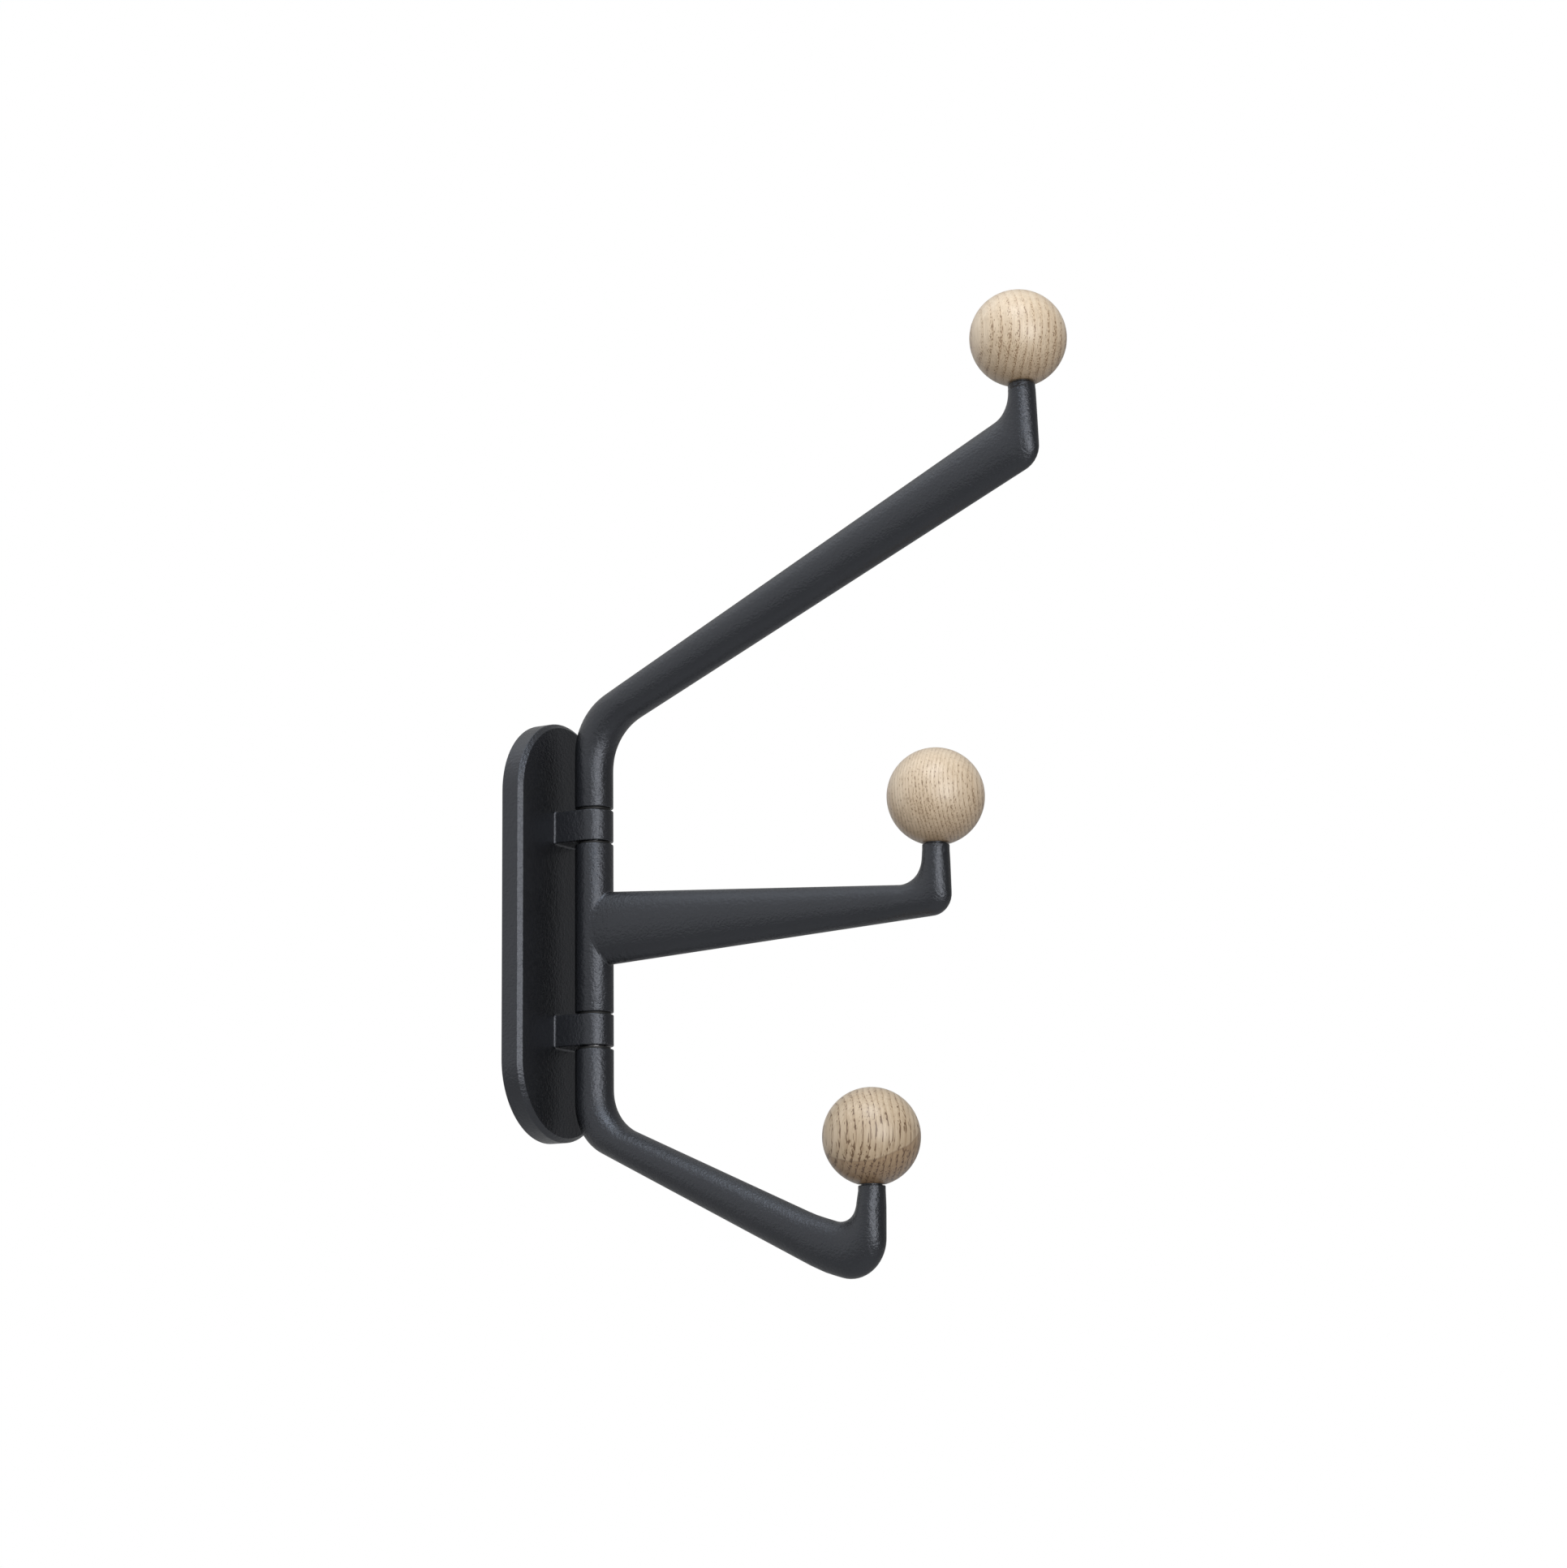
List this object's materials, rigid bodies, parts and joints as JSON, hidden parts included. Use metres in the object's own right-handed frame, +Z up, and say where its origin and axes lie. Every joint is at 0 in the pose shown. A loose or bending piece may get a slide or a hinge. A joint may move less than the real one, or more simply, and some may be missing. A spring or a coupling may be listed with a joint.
{
  "type": "triple wall hook",
  "caption": "Wall hook with a stadium-shaped plate, an upright pivot and swivelling oval arms that end in wooden balls.",
  "frame": {"origin": "middle of the plate's back face, where it meets the wall", "axes": "+Y into the wall, so the arms reach out towards -Y at rest; +Z up along the pivot; +X to the right of a person who faces the wall"},
  "size_m": [0.05, 0.1912, 0.2996],
  "materials": {
    "powder_coat": "satin",
    "pale_oak": "satin",
    "brown_oak": "satin",
    "steel": "satin",
    "bush_plastic": "matte"
  },
  "bodies": {
    "mount": {"wall_plate": "powder_coat", "mounting_bracket": "steel", "plate_grub_screw": "steel", "pivot_rod": "steel", "rod_grub_screws": "steel"},
    "upper_hook": {"upper_arm": "powder_coat", "upper_arm_bush": "bush_plastic", "upper_arm_grub_screw": "steel", "upper_stud": "steel", "upper_ball": "pale_oak"},
    "middle_hook": {"middle_arm": "powder_coat", "sleeve_top_bush": "bush_plastic", "sleeve_bottom_bush": "bush_plastic", "middle_stud": "steel", "middle_ball": "pale_oak"},
    "lower_hook": {"lower_arm": "powder_coat", "lower_arm_bush": "bush_plastic", "lower_arm_grub_screw": "steel", "lower_stud": "steel", "lower_ball": "brown_oak"}
  },
  "joints": [
    {"name": "upper_swivel", "type": "hinge", "parent": "mount", "child": "upper_hook", "pos_m": [0, -0.0185, 0.0555], "axis": [0, 0, 1], "range_deg": [-90, 90]},
    {"name": "middle_swivel", "type": "hinge", "parent": "mount", "child": "middle_hook", "pos_m": [0, -0.0185, 0], "axis": [0, 0, 1], "range_deg": [-90, 90]},
    {"name": "lower_swivel", "type": "hinge", "parent": "mount", "child": "lower_hook", "pos_m": [0, -0.0185, -0.0555], "axis": [0, 0, 1], "range_deg": [-90, 90]}
  ]
}
